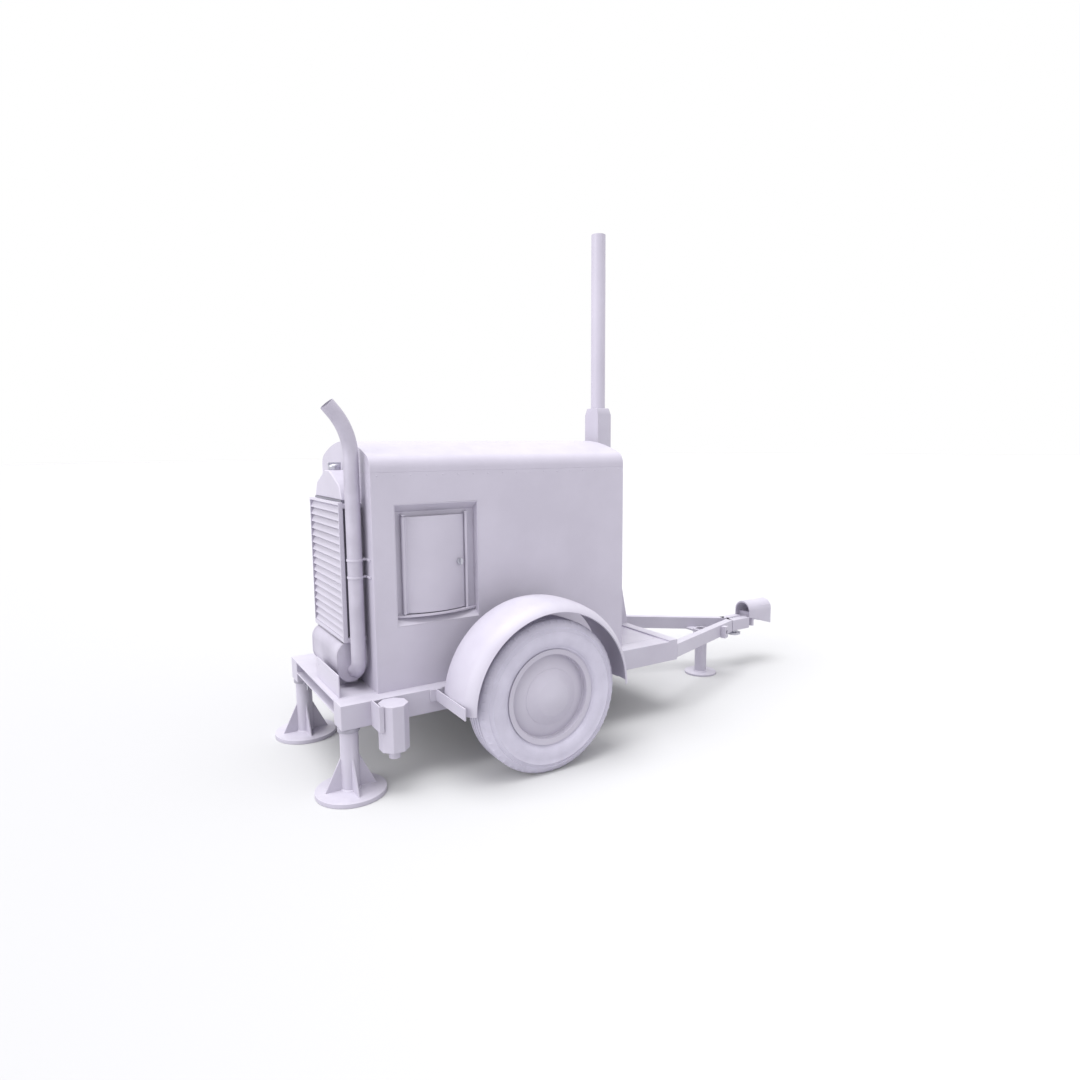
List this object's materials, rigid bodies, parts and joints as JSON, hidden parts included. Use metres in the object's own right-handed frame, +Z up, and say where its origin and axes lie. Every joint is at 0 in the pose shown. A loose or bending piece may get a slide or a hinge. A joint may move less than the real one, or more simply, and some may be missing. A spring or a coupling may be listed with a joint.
{
  "type": "towable diesel generator",
  "caption": "Two-wheel trailer generator in a canopy with louvred radiator end, exhaust stack, control bay, light mast, jacks and ball coupler.",
  "frame": {"origin": "on the ground under the middle of the machine's length, on its centreline", "axes": "+X towards the tow coupler, +Y to the side away from the control bay, +Z up"},
  "size_m": [3.2184, 1.494, 2.65],
  "materials": {
    "frame_enamel": "satin",
    "housing_enamel": "satin",
    "engine_paint": "satin",
    "tyre_rubber": "matt",
    "belt_rubber": "matt",
    "dark_metal": "satin",
    "core_metal": "matt",
    "zinc_steel": "satin",
    "hot_steel": "satin",
    "cast_alloy": "cast",
    "dark_plastic": "matt",
    "green_plastic": "gloss",
    "red_plastic": "gloss"
  },
  "bodies": {
    "trailer": {"chassis_frame": "frame_enamel", "deck_plate": "housing_enamel", "drawbar": "frame_enamel", "coupler_head": "frame_enamel", "coupler_pin": "zinc_steel", "junction_box": "frame_enamel", "axle_tube": "dark_metal", "mudguard_left": "frame_enamel", "mudguard_right": "frame_enamel", "side_brackets": "frame_enamel", "jack_guides": "dark_metal", "housing_walls": "housing_enamel", "roof_cover": "housing_enamel", "control_bay": "housing_enamel", "control_panel": "housing_enamel", "gauges": "dark_plastic", "power_outlets": "dark_plastic", "louvre_panel": "housing_enamel", "radiator_core": "core_metal", "radiator_top_tank": "housing_enamel", "rear_brackets": "housing_enamel", "fan_belt": "belt_rubber", "engine_block": "engine_paint", "cylinder_head": "cast_alloy", "oil_sump": "dark_metal", "air_filter": "engine_paint", "generator_body": "engine_paint", "fuel_tank": "engine_paint", "battery": "dark_plastic", "muffler": "hot_steel", "exhaust_pipe": "hot_steel", "filter_canister": "frame_enamel", "mast_post": "frame_enamel"},
    "wheel_left": {"tyre_left": "tyre_rubber", "wheel_rim_left": "frame_enamel"},
    "wheel_right": {"tyre_right": "tyre_rubber", "wheel_rim_right": "frame_enamel"},
    "arm_left": {"suspension_arm_left": "dark_metal"},
    "arm_right": {"suspension_arm_right": "dark_metal"},
    "jack_left": {"rear_leg_left": "frame_enamel"},
    "jack_right": {"rear_leg_right": "frame_enamel"},
    "screw_left": {"rear_clamp_left": "zinc_steel"},
    "screw_right": {"rear_clamp_right": "zinc_steel"},
    "jack_front": {"front_leg": "frame_enamel"},
    "screw_front": {"front_clamp": "zinc_steel"},
    "hitch_jaw": {"ball_clamp": "zinc_steel"},
    "panel_door": {"control_door": "housing_enamel"},
    "panel_latch": {"door_latch": "zinc_steel"},
    "start": {"start_button": "green_plastic"},
    "stop": {"stop_button": "red_plastic"},
    "key": {"key_switch": "dark_plastic"},
    "breaker": {"main_breaker": "dark_plastic"},
    "side_door": {"service_door": "housing_enamel"},
    "side_latch": {"service_latch": "zinc_steel"},
    "water_cap": {"radiator_cap": "zinc_steel"},
    "tank_cap": {"fuel_cap": "zinc_steel"},
    "fan": {"cooling_fan": "dark_metal"},
    "crank": {"crankshaft": "dark_metal"},
    "mast": {"mast_tube": "housing_enamel"},
    "winch": {"winch_crank": "zinc_steel"}
  },
  "joints": [
    {"name": "suspension_left", "type": "hinge", "parent": "trailer", "child": "arm_left", "pos_m": [-0.46175, -0.391, 0.265], "axis": [0, 1, 0], "range_deg": [-8, 10], "stiffness_Nm_per_rad": 30000, "springref_deg": -2.03},
    {"name": "wheel_spin_left", "type": "hinge", "parent": "arm_left", "child": "wheel_left", "pos_m": [-0.61675, -0.635, 0.36], "axis": [0, 1, 0], "continuous": true},
    {"name": "suspension_right", "type": "hinge", "parent": "trailer", "child": "arm_right", "pos_m": [-0.46175, 0.391, 0.265], "axis": [0, 1, 0], "range_deg": [-8, 10], "stiffness_Nm_per_rad": 30000, "springref_deg": -2.03},
    {"name": "wheel_spin_right", "type": "hinge", "parent": "arm_right", "child": "wheel_right", "pos_m": [-0.61675, 0.635, 0.36], "axis": [0, 1, 0], "continuous": true},
    {"name": "leg_slide_left", "type": "slide", "parent": "trailer", "child": "jack_left", "axis": [0, 0, 1], "range_m": [0, 0.1]},
    {"name": "clamp_turn_left", "type": "hinge", "parent": "trailer", "child": "screw_left", "pos_m": [-1.45575, -0.31, 0.291], "axis": [0, 1, 0], "range_deg": [-180, 180]},
    {"name": "leg_slide_right", "type": "slide", "parent": "trailer", "child": "jack_right", "axis": [0, 0, 1], "range_m": [0, 0.1]},
    {"name": "clamp_turn_right", "type": "hinge", "parent": "trailer", "child": "screw_right", "pos_m": [-1.45575, 0.31, 0.291], "axis": [0, 1, 0], "range_deg": [-180, 180]},
    {"name": "leg_slide_front", "type": "slide", "parent": "trailer", "child": "jack_front", "axis": [0, 0, 1], "range_m": [0, 0.2]},
    {"name": "clamp_turn_front", "type": "hinge", "parent": "trailer", "child": "screw_front", "pos_m": [1.07325, 0, 0.28], "axis": [1, 0, 0], "range_deg": [-180, 180]},
    {"name": "jaw_tilt", "type": "hinge", "parent": "trailer", "child": "hitch_jaw", "pos_m": [1.48925, 0, 0.307], "axis": [0, 1, 0], "range_deg": [0, 35]},
    {"name": "door_swing", "type": "hinge", "parent": "trailer", "child": "panel_door", "pos_m": [-1.16175, -0.338, 0.965], "axis": [0, 0, -1], "range_deg": [0, 105]},
    {"name": "latch_turn", "type": "hinge", "parent": "panel_door", "child": "panel_latch", "pos_m": [-0.89075, -0.341, 0.965], "axis": [0, 1, 0], "range_deg": [0, 90]},
    {"name": "start_push", "type": "slide", "parent": "trailer", "child": "start", "axis": [0, 1, 0], "range_m": [0, 0.003], "stiffness_N_per_m": 600},
    {"name": "stop_push", "type": "slide", "parent": "trailer", "child": "stop", "axis": [0, 1, 0], "range_m": [0, 0.003], "stiffness_N_per_m": 600},
    {"name": "key_turn", "type": "hinge", "parent": "trailer", "child": "key", "pos_m": [-0.93075, -0.265, 0.95], "axis": [0, 1, 0], "range_deg": [0, 60]},
    {"name": "breaker_throw", "type": "hinge", "parent": "trailer", "child": "breaker", "pos_m": [-1.00675, -0.254, 0.875], "axis": [1, 0, 0], "range_deg": [-25, 25]},
    {"name": "side_door_swing", "type": "hinge", "parent": "trailer", "child": "side_door", "pos_m": [-0.99475, 0.3755, 1.0475], "axis": [0, 0, 1], "range_deg": [0, 110]},
    {"name": "side_latch_turn", "type": "hinge", "parent": "side_door", "child": "side_latch", "pos_m": [-0.29675, 0.37, 1.0475], "axis": [0, 1, 0], "range_deg": [0, 90]},
    {"name": "water_cap_twist", "type": "hinge", "parent": "trailer", "child": "water_cap", "pos_m": [-1.35675, 0, 1.41], "axis": [0, 0, 1], "range_deg": [0, 90]},
    {"name": "tank_cap_twist", "type": "hinge", "parent": "trailer", "child": "tank_cap", "pos_m": [-0.00575, 0.38, 0.9], "axis": [0, 1, 0], "range_deg": [0, 90]},
    {"name": "crank_spin", "type": "hinge", "parent": "trailer", "child": "crank", "pos_m": [-0.61675, 0, 0.7], "axis": [1, 0, 0], "continuous": true},
    {"name": "fan_spin", "type": "hinge", "parent": "trailer", "child": "fan", "pos_m": [-1.04675, 0, 0.95], "axis": [1, 0, 0], "continuous": true},
    {"name": "mast_slide", "type": "slide", "parent": "trailer", "child": "mast", "axis": [0, 0, 1], "range_m": [-0.8, 0.2]},
    {"name": "winch_turn", "type": "hinge", "parent": "trailer", "child": "winch", "pos_m": [0.16225, 0.17, 1.01], "axis": [1, 0, 0], "range_deg": [-1560, 400]}
  ],
  "couplings": [
    {"joint": "fan_spin", "follows": "crank_spin", "ratio": 1.1667},
    {"joint": "winch_turn", "follows": "mast_slide", "rad_per_m": 33.333}
  ]
}
